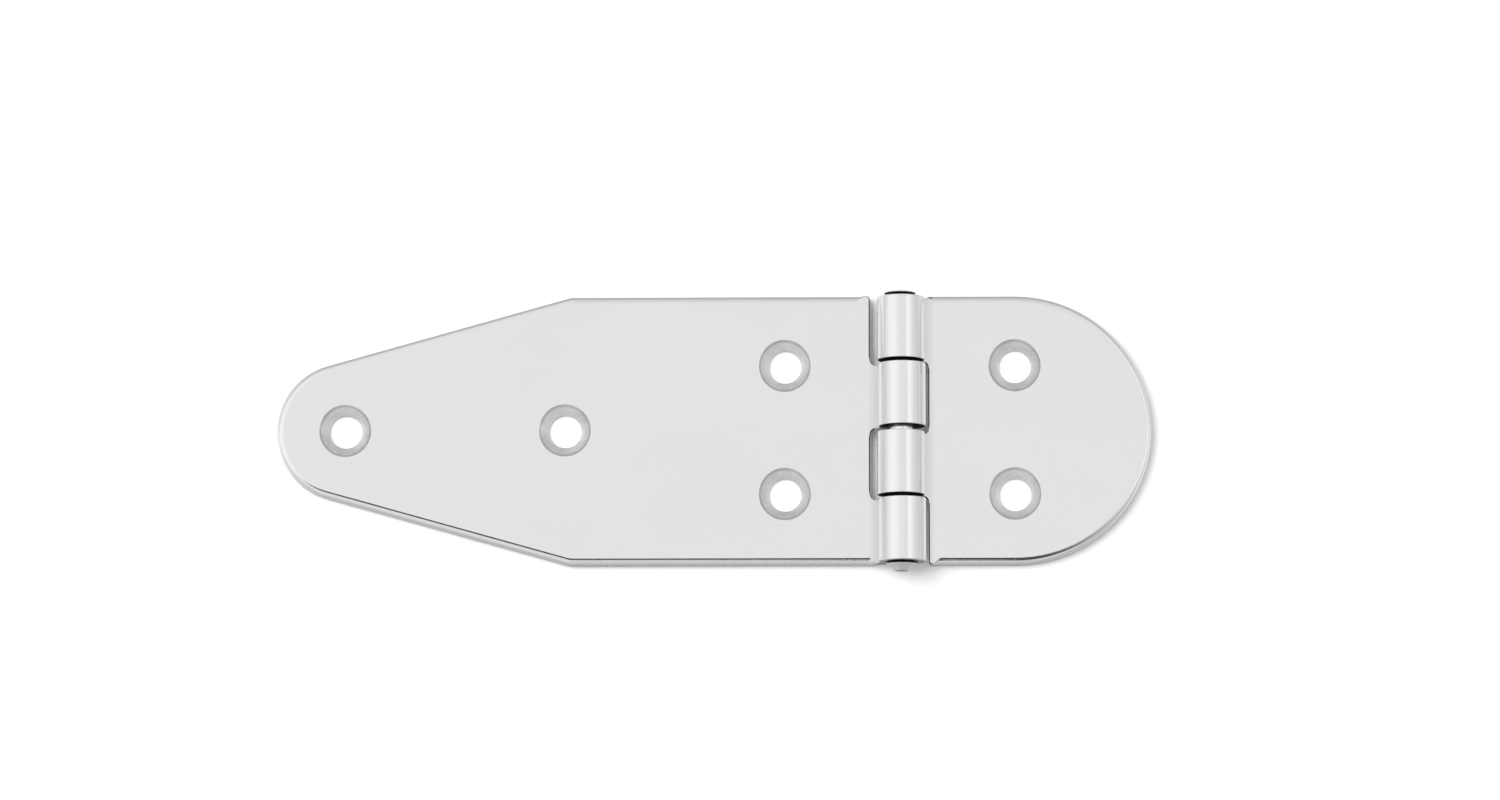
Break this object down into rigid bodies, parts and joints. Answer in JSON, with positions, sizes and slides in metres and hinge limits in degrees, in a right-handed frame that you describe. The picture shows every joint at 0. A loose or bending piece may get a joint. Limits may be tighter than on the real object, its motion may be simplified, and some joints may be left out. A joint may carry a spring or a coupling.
{
  "type": "strap hinge",
  "caption": "Surface-mounted strap hinge in polished stainless sheet: a long tapered leaf and a short round-ended leaf, folded about a pin in rolled knuckles, with countersunk screw holes.",
  "frame": {"origin": "under the pin's axis, halfway across the hinge's width, on the back mounting plane of the leaves", "axes": "+X from the pin toward the short leaf's round end, the long leaf's tip lies along -X, Y along the pin with the formed head at +Y, +Z out of the mounting surface toward the barrel and the countersinks"},
  "size_m": [0.1353, 0.0434, 0.0073],
  "materials": {
    "leaf_steel": "polished stainless sheet with rolled-over, bright edges and satin countersinks",
    "pin_steel": "drawn stainless rod, turned head and hammered end"
  },
  "bodies": {
    "strap": {"strap_leaf": "leaf_steel", "hinge_pin": "pin_steel"},
    "short": {"short_leaf": "leaf_steel"}
  },
  "joints": [
    {"name": "fold", "type": "hinge", "parent": "strap", "child": "short", "pos_m": [0, 0, 0.00365], "axis": [0, -1, 0], "range_deg": [-95, 185]}
  ]
}
